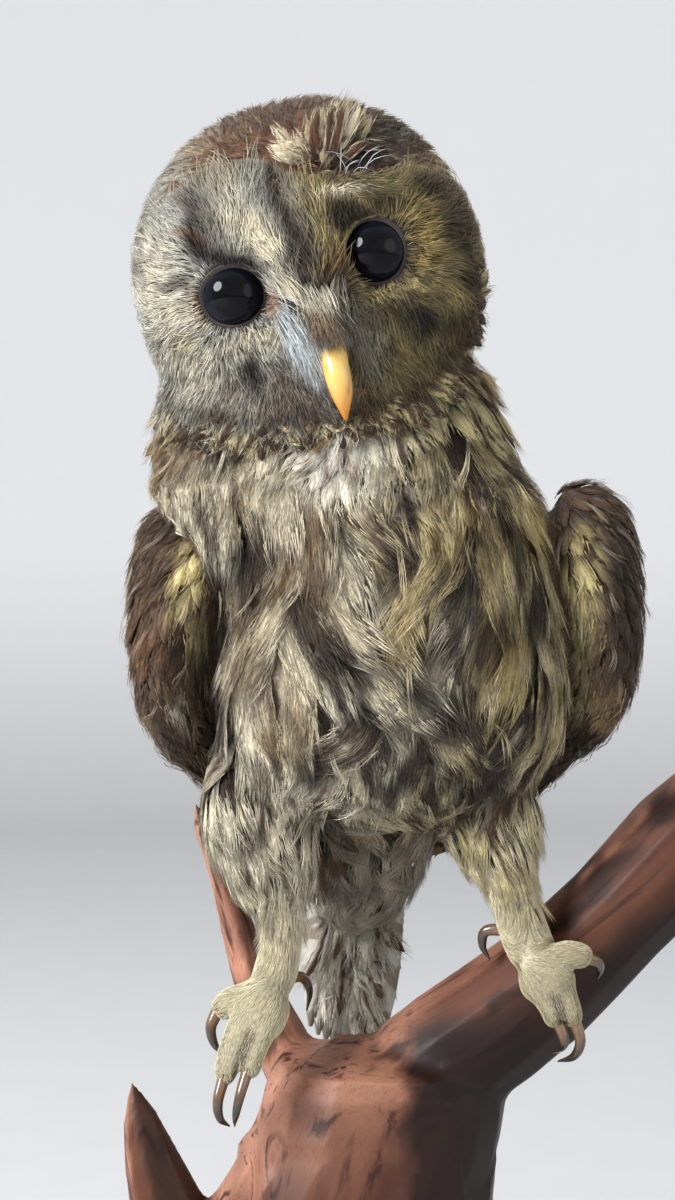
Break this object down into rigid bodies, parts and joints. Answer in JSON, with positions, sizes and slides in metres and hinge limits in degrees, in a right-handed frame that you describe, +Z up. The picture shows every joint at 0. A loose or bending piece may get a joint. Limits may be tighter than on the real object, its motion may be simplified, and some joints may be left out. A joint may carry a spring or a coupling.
{
  "type": "mounted owl",
  "caption": "Mounted owl with a round face, dark glass eyes and folded wings, gripping a carved and varnished wooden perch with a rising branch.",
  "frame": {"origin": "on the floor under the perch's trunk, at the middle of its flat bottom", "axes": "+Z up, the owl faces -Y, and its own left side and the perch's branch are at +X"},
  "size_m": [0.2466, 0.142, 0.4854],
  "materials": {
    "plumage": "soft barred feathers, dark brown streaks on cream and buff",
    "face": "fine radiating face feathers, grey buff to olive gold",
    "wing": "dark brown wing, back and tail feathers with buff marks",
    "feet": "short pale cream feathers on legs and toes",
    "bill": "glossy yellow horn",
    "claw": "glossy dark horn",
    "eye": "polished black glass eye",
    "wood": "carved facets, glossy red brown varnish with dark streaks"
  },
  "bodies": {
    "root": {"perch_stump": "wood", "perch_trunk": "wood", "perch_branch": "wood", "perch_prong": "wood", "perch_spike": "wood", "eye_left": "eye", "eye_right": "eye", "bill_upper": "bill", "bill_lower": "bill", "head": "plumage", "face_disc_left": "face", "face_disc_right": "face", "neck": "plumage", "toe_right_outer": "feet", "toe_right_middle": "feet", "toe_right_inner": "feet", "toe_right_hind": "feet", "claw_right_outer": "claw", "claw_right_middle": "claw", "claw_right_inner": "claw", "claw_right_hind": "claw", "foot_right": "feet", "tarsus_right": "feet", "thigh_right": "plumage", "toe_left_outer": "feet", "toe_left_middle": "feet", "toe_left_inner": "feet", "toe_left_hind": "feet", "claw_left_outer": "claw", "claw_left_middle": "claw", "claw_left_inner": "claw", "claw_left_hind": "claw", "foot_left": "feet", "tarsus_left": "feet", "thigh_left": "plumage", "wing_right_coverts": "wing", "wing_right_primaries": "wing", "wing_left_coverts": "wing", "wing_left_primaries": "wing", "tail": "wing", "trunk": "plumage", "mantle": "wing", "rump": "wing", "vent": "plumage"}
  },
  "joints": []
}
